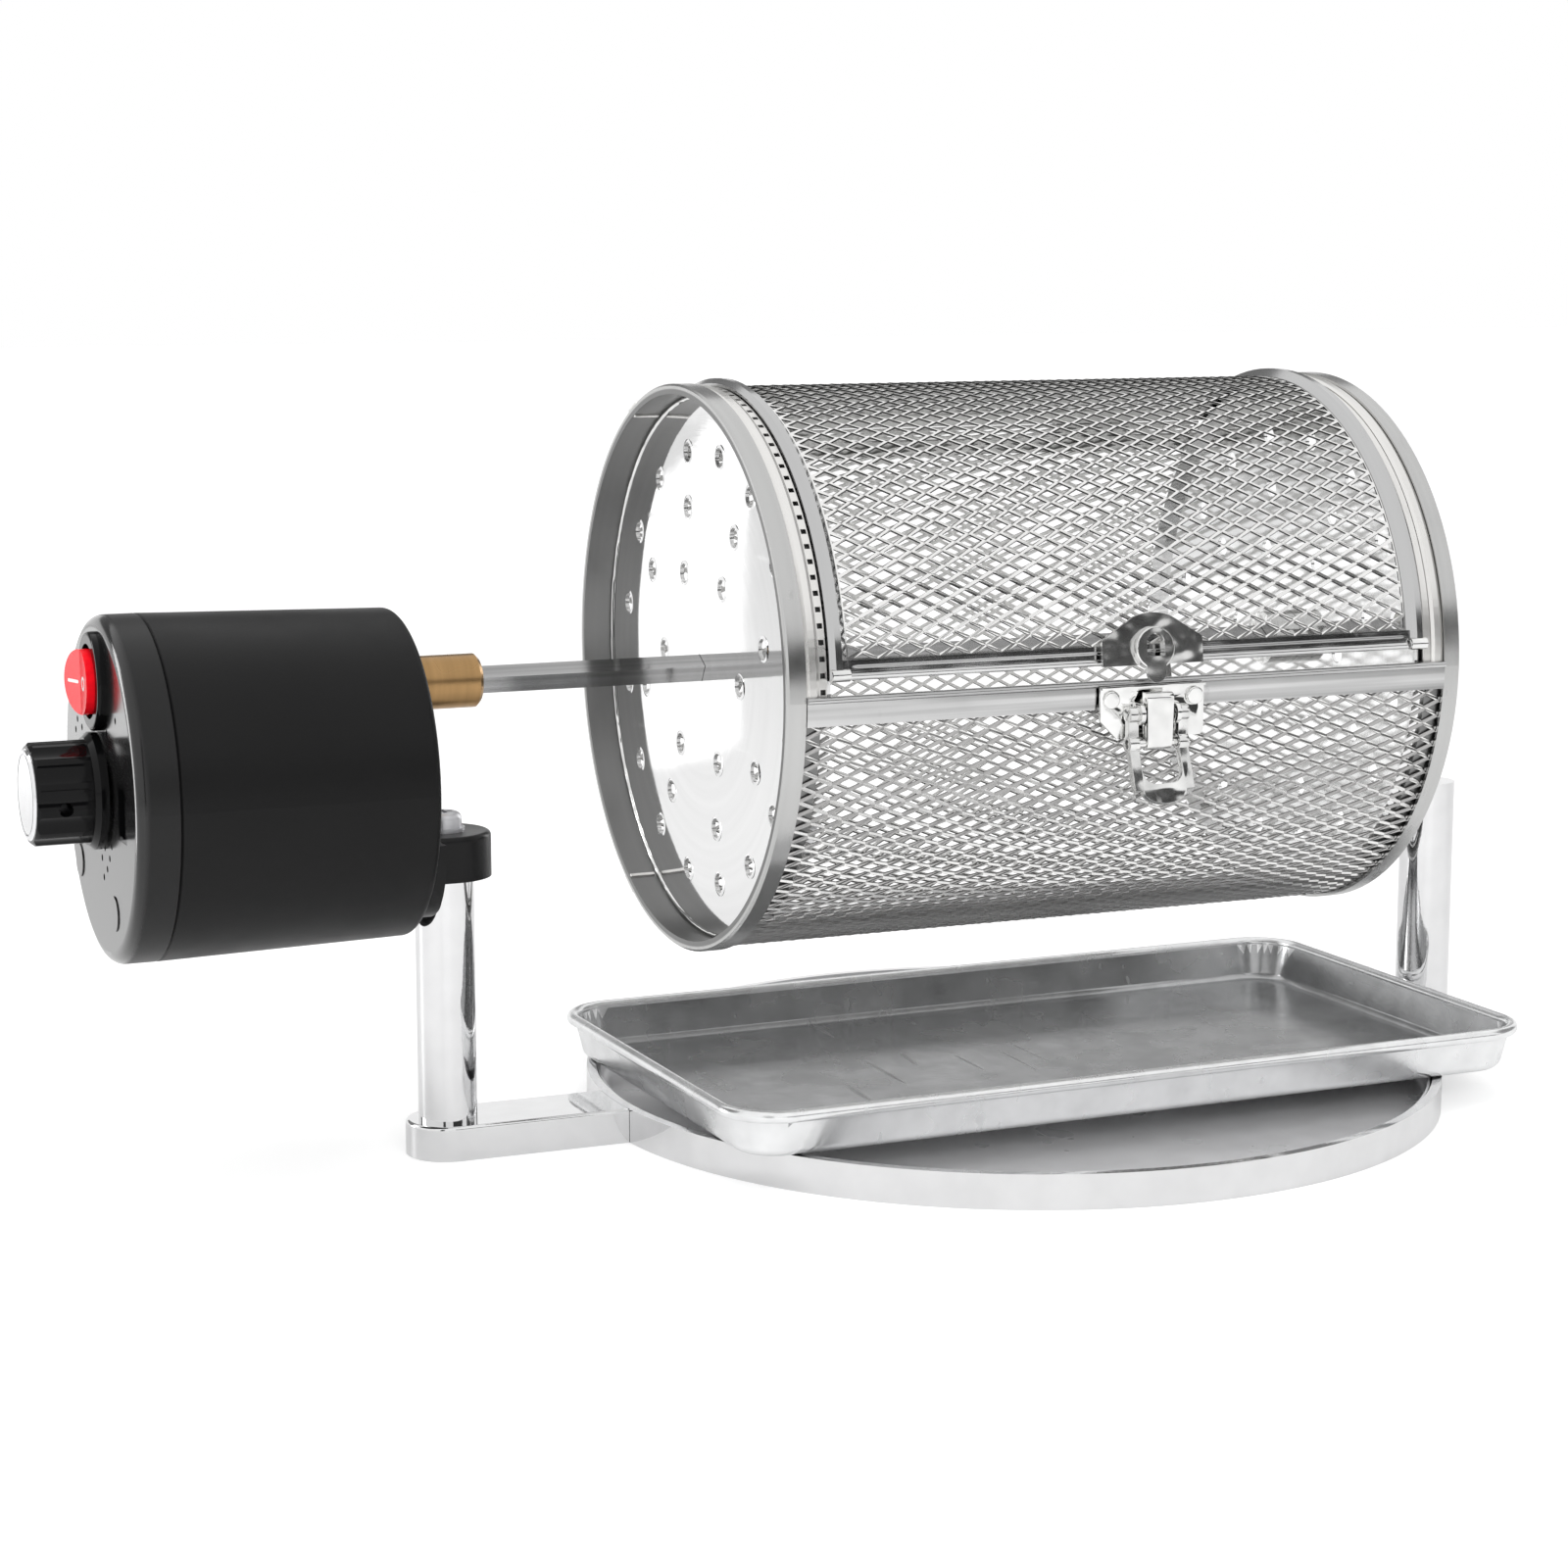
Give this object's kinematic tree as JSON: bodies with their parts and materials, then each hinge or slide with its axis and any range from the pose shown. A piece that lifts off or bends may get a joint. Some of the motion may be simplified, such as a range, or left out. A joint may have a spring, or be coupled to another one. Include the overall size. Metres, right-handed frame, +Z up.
{
  "type": "electric drum roaster",
  "caption": "Motor-driven wire-mesh roasting drum with a hinged latched lid, turning on a round base with two posts over a loose catch tray.",
  "frame": {"origin": "centre of the base hoop on the floor", "axes": "+X along the drum's axis from the motor to the right post, +Y away from the latch side, +Z up"},
  "size_m": [0.3919, 0.2228, 0.1873],
  "materials": {
    "chrome": "mirror chrome",
    "polished_steel": "polished stainless steel",
    "mesh_steel": "bright expanded stainless steel",
    "rail_steel": "satin stainless steel",
    "fastener_steel": "bright steel",
    "tray_metal": "bright tinned steel",
    "brass": "turned brass",
    "black_plastic": "fine matt black",
    "black_gloss": "gloss black",
    "red_plastic": "gloss red",
    "bracket_paint": "black painted casting",
    "silver_face": "spun silver",
    "white_plastic": "natural nylon",
    "board": "green board"
  },
  "bodies": {
    "stand": {"base_hoop": "chrome", "base_plate": "polished_steel", "drip_pan": "polished_steel", "left_arm": "chrome", "right_arm": "chrome", "left_post": "chrome", "right_post": "chrome", "post_screws": "fastener_steel", "shaft_bush": "white_plastic", "motor_body": "black_plastic", "front_cap": "black_plastic", "cap_screws": "fastener_steel", "cap_plugs": "black_gloss", "motor_bracket": "bracket_paint", "bracket_bolts": "fastener_steel", "post_top_screw": "fastener_steel", "post_top_washer": "fastener_steel", "switch_housing": "black_gloss", "speed_pot": "fastener_steel", "speed_board": "board", "power_inlet": "black_gloss", "gear_plate": "rail_steel", "gear_pillars": "fastener_steel", "idler_pin": "fastener_steel", "motor_can": "rail_steel"},
    "drum": {"left_rim": "polished_steel", "right_rim": "polished_steel", "left_end_disc": "polished_steel", "right_end_disc": "polished_steel", "drum_hubs": "fastener_steel", "body_mesh": "mesh_steel", "opening_strips": "rail_steel", "body_front_rail": "rail_steel", "body_rear_rail": "rail_steel", "body_hinge_leaves": "rail_steel", "hinge_pins": "fastener_steel", "latch_base": "polished_steel", "latch_rivets": "fastener_steel", "drum_shaft": "rail_steel", "shaft_coupling": "brass", "coupling_screw": "fastener_steel", "output_gear": "fastener_steel", "output_shaft": "fastener_steel"},
    "lid": {"lid_hinge_leaves": "rail_steel", "lid_side_bands": "rail_steel", "lid_front_rail": "rail_steel", "lid_rear_rail": "rail_steel", "lid_mesh": "mesh_steel", "latch_keeper": "polished_steel"},
    "lever": {"latch_lever": "polished_steel"},
    "claw": {"latch_claw": "polished_steel"},
    "knob": {"speed_knob": "black_gloss", "knob_face": "silver_face", "pot_shaft": "fastener_steel"},
    "rocker": {"switch_rocker": "red_plastic"},
    "armature": {"armature": "fastener_steel", "pinion": "brass"},
    "idler": {"idler_gear": "white_plastic"},
    "tray": {"catch_tray": "tray_metal"}
  },
  "joints": [
    {"name": "drum_spin", "type": "hinge", "parent": "stand", "child": "drum", "pos_m": [0, 0, 0.1162], "axis": [1, 0, 0], "continuous": true},
    {"name": "lid_hinge", "type": "hinge", "parent": "drum", "child": "lid", "pos_m": [-0.00265, 0.04457, 0.17223], "axis": [1, 0, 0], "range_deg": [-110, 0]},
    {"name": "lever_pivot", "type": "hinge", "parent": "drum", "child": "lever", "pos_m": [0, -0.0742, 0.1097], "axis": [-1, 0, 0], "range_deg": [0, 110]},
    {"name": "claw_pivot", "type": "hinge", "parent": "lever", "child": "claw", "pos_m": [0, -0.0742, 0.1026], "axis": [-1, 0, 0], "range_deg": [-110, 0]},
    {"name": "knob_turn", "type": "hinge", "parent": "stand", "child": "knob", "pos_m": [-0.237, 0, 0.0952], "axis": [-1, 0, 0], "range_deg": [-140, 140]},
    {"name": "rocker_tilt", "type": "hinge", "parent": "stand", "child": "rocker", "pos_m": [-0.2354, 0, 0.1207], "axis": [0, 0, -1], "range_deg": [0, 16]},
    {"name": "idler_spin", "type": "hinge", "parent": "stand", "child": "idler", "pos_m": [-0.18, 0.01116, 0.10082], "axis": [1, 0, 0], "continuous": true},
    {"name": "armature_spin", "type": "hinge", "parent": "stand", "child": "armature", "pos_m": [-0.2, 0, 0.0852], "axis": [1, 0, 0], "continuous": true},
    {"name": "tray_slide", "type": "slide", "parent": "stand", "child": "tray", "axis": [0, -1, 0], "range_m": [0, 0.2]}
  ],
  "couplings": [
    {"joint": "idler_spin", "follows": "drum_spin", "ratio": -2.1667},
    {"joint": "armature_spin", "follows": "drum_spin", "ratio": 6.5},
    {"joint": "claw_pivot", "follows": "lever_pivot", "ratio": -1}
  ]
}
